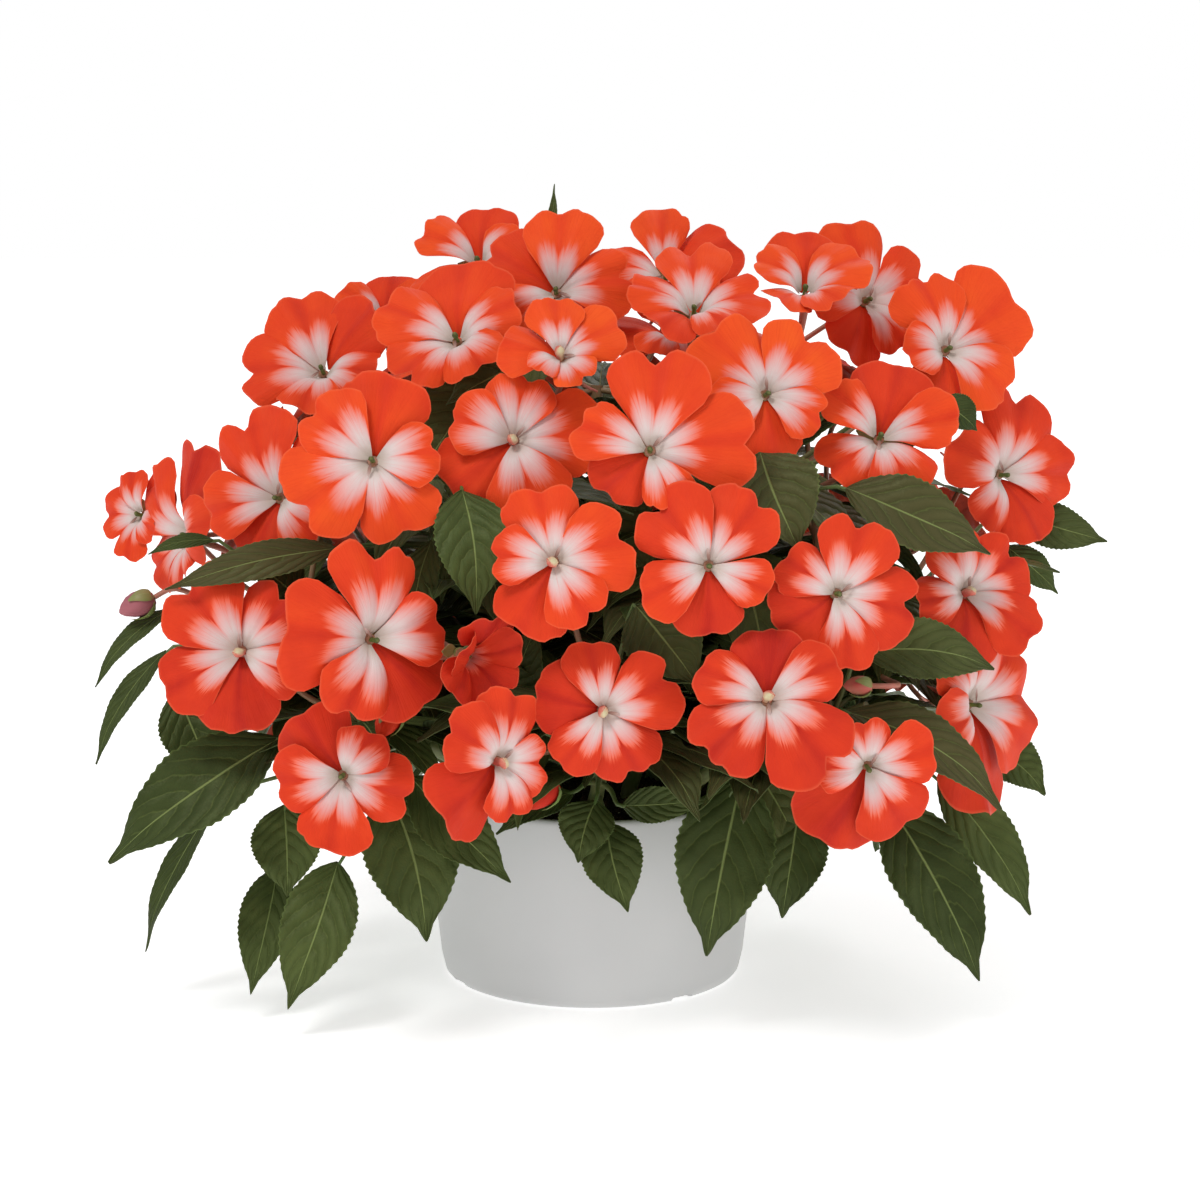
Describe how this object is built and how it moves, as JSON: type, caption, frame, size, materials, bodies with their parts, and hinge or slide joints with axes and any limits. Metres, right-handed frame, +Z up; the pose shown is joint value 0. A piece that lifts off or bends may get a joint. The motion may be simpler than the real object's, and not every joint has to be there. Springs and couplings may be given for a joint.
{
  "type": "potted new guinea impatiens",
  "caption": "Round low plastic pot of soil carrying a wide dome of flat five-petalled impatiens blooms over toothed lance-shaped leaves.",
  "frame": {"origin": "centre of the pot's underside, on the surface it stands on", "axes": "+Z up along the pot's axis; -Y is the side seen in the picture, with +X to its right"},
  "size_m": [0.4434, 0.3801, 0.3471],
  "materials": {
    "pot": "satin",
    "soil": "matte",
    "leaf": "satin",
    "petal": "satin",
    "bud": "satin"
  },
  "bodies": {
    "root": {"pot": "pot", "soil": "soil", "shoot_front_left": "leaf", "shoot_front": "leaf", "shoot_front_right": "leaf", "shoot_left": "leaf", "shoot_right": "leaf", "shoot_back_left": "leaf", "shoot_back_right": "leaf", "shoot_back": "leaf", "shoot_top_left": "leaf", "shoot_top_right": "leaf", "shoot_top": "leaf", "bloom_01": "petal", "bloom_02": "petal", "bloom_03": "petal", "bloom_04": "petal", "bloom_05": "petal", "bloom_06": "petal", "bloom_07": "petal", "bloom_08": "petal", "bloom_09": "petal", "bloom_10": "petal", "bloom_11": "petal", "bloom_12": "petal", "bloom_13": "petal", "bloom_14": "petal", "bloom_15": "petal", "bloom_16": "petal", "bloom_17": "petal", "bloom_18": "petal", "bloom_19": "petal", "bloom_20": "petal", "bloom_21": "petal", "bloom_22": "petal", "bloom_23": "petal", "bloom_24": "petal", "bloom_25": "petal", "bloom_26": "petal", "bloom_27": "petal", "bloom_28": "petal", "bloom_29": "petal", "bloom_30": "petal", "bloom_31": "petal", "bloom_32": "petal", "bloom_33": "petal", "bloom_half_open": "petal", "spray_back_right": "petal", "spray_back": "petal", "spray_back_left": "petal", "spray_top": "petal", "bud_1": "bud", "bud_2": "bud", "bud_3": "bud", "bud_4": "bud"}
  },
  "joints": []
}
